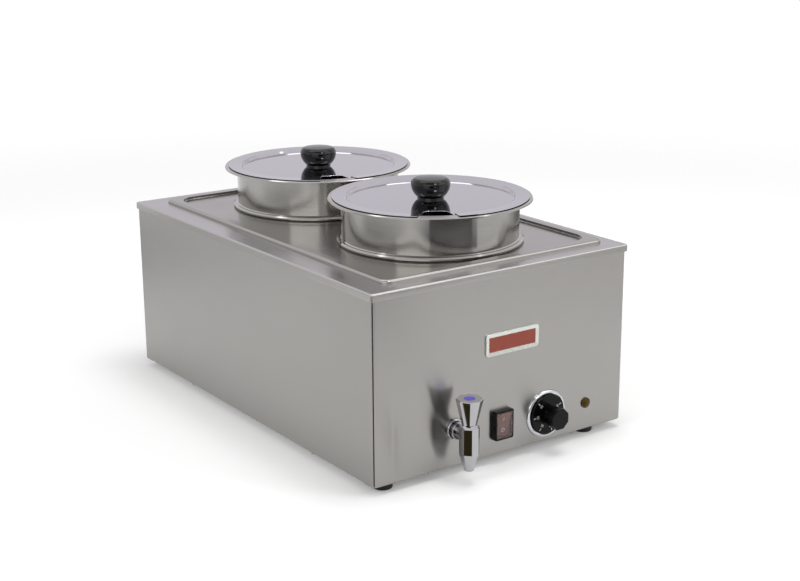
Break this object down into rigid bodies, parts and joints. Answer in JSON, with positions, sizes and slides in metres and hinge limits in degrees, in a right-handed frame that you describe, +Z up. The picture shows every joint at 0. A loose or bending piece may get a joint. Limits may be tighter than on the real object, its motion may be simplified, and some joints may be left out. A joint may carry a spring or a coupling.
{
  "type": "bain-marie food warmer",
  "caption": "Countertop steel bain-marie food warmer with a heated water well, lift-out round soup pots with notched lids, an adapter plate, a drain tap, a rocker switch and a thermostat dial.",
  "frame": {"origin": "middle of the outer box in plan, on the worktop under the rubber feet", "axes": "+Z up, +Y from the control panel towards the rear, +X to the right as seen from the front"},
  "size_m": [0.3744, 0.63, 0.3122],
  "materials": {
    "panel_steel": "satin, fine straight grain",
    "deck_steel": "satin, fine straight grain",
    "well_steel": "satin",
    "plate_steel": "satin",
    "pot_steel": "satin, grain round the wall",
    "lid_steel": "polished",
    "base_steel": "plain mill finish",
    "screw_steel": "bright",
    "black_knob": "glossy moulded",
    "black_nylon": "fine satin",
    "black_rubber": "matte",
    "tap_chrome": "bright plated",
    "bezel_chrome": "bright plated",
    "valve_brass": "machined",
    "blue_button": "glossy",
    "red_rocker": "translucent glossy",
    "clear_boot": "clear soft vinyl",
    "amber_lens": "translucent",
    "dark_sheath": "oxidised",
    "bright_tube": "drawn tube",
    "bulb_copper": "drawn copper",
    "shield_aluminium": "rolled",
    "pale_ceramic": "matte"
  },
  "bodies": {
    "housing": {"top_deck": "deck_steel", "water_well": "well_steel", "front_panel": "panel_steel", "rear_panel": "panel_steel", "right_side_panel": "panel_steel", "left_side_panel": "panel_steel", "base_plate": "base_steel", "base_screws": "screw_steel", "skirt_screws": "screw_steel", "rubber_feet": "black_rubber", "foot_screws": "screw_steel", "foot_nuts": "screw_steel", "tap_body": "tap_chrome", "tap_escutcheon": "tap_chrome", "tap_seal": "black_rubber", "tap_locknut": "valve_brass", "tap_gland": "tap_chrome", "drain_pipe": "bright_tube", "drain_union": "valve_brass", "heating_element": "dark_sheath", "element_clamps": "base_steel", "heat_shield": "shield_aluminium", "element_nuts": "screw_steel", "thermal_cutout": "pale_ceramic", "switch_body": "black_nylon", "switch_boot": "clear_boot", "dial_bezel": "bezel_chrome", "thermostat_body": "pale_ceramic", "thermostat_screws": "screw_steel", "thermostat_bulb": "bulb_copper", "bulb_clips": "base_steel", "pilot_lens": "amber_lens", "pilot_body": "pale_ceramic", "pilot_clip": "screw_steel", "cord_gland": "black_nylon", "gland_nut": "black_nylon", "terminal_block": "pale_ceramic", "terminal_screws": "screw_steel"},
    "adapter": {"adapter_plate": "plate_steel"},
    "front_pot": {"front_pot": "pot_steel"},
    "rear_pot": {"rear_pot": "pot_steel"},
    "front_lid": {"front_lid": "lid_steel", "front_lid_knob": "black_knob", "front_lid_screw": "screw_steel"},
    "rear_lid": {"rear_lid": "lid_steel", "rear_lid_knob": "black_knob", "rear_lid_screw": "screw_steel"},
    "tap_handle": {"tap_handle": "tap_chrome", "tap_handle_screw": "screw_steel", "tap_button": "blue_button", "tap_plug": "valve_brass", "tap_o_ring": "black_rubber"},
    "dial": {"thermostat_knob": "black_nylon", "thermostat_shaft": "screw_steel"},
    "rocker": {"switch_rocker": "red_rocker"}
  },
  "joints": [
    {"name": "plate_lift", "type": "slide", "parent": "housing", "child": "adapter", "axis": [0, 0, 1], "range_m": [0, 0.2]},
    {"name": "front_pot_lift", "type": "slide", "parent": "adapter", "child": "front_pot", "axis": [0, 0, 1], "range_m": [0, 0.2]},
    {"name": "rear_pot_lift", "type": "slide", "parent": "adapter", "child": "rear_pot", "axis": [0, 0, 1], "range_m": [0, 0.2]},
    {"name": "front_lid_lift", "type": "slide", "parent": "front_pot", "child": "front_lid", "axis": [0, 0, 1], "range_m": [0, 0.15]},
    {"name": "rear_lid_lift", "type": "slide", "parent": "rear_pot", "child": "rear_lid", "axis": [0, 0, 1], "range_m": [0, 0.15]},
    {"name": "tap_turn", "type": "hinge", "parent": "housing", "child": "tap_handle", "pos_m": [-0.0737, -0.2992, 0.056], "axis": [0, 0, 1], "range_deg": [0, 90]},
    {"name": "dial_turn", "type": "hinge", "parent": "housing", "child": "dial", "pos_m": [0.0625, -0.272, 0.0445], "axis": [0, 1, 0], "range_deg": [0, 270]},
    {"name": "rocker_press", "type": "hinge", "parent": "housing", "child": "rocker", "pos_m": [-0.005, -0.2705, 0.0465], "axis": [-1, 0, 0], "range_deg": [0, 14]}
  ]
}
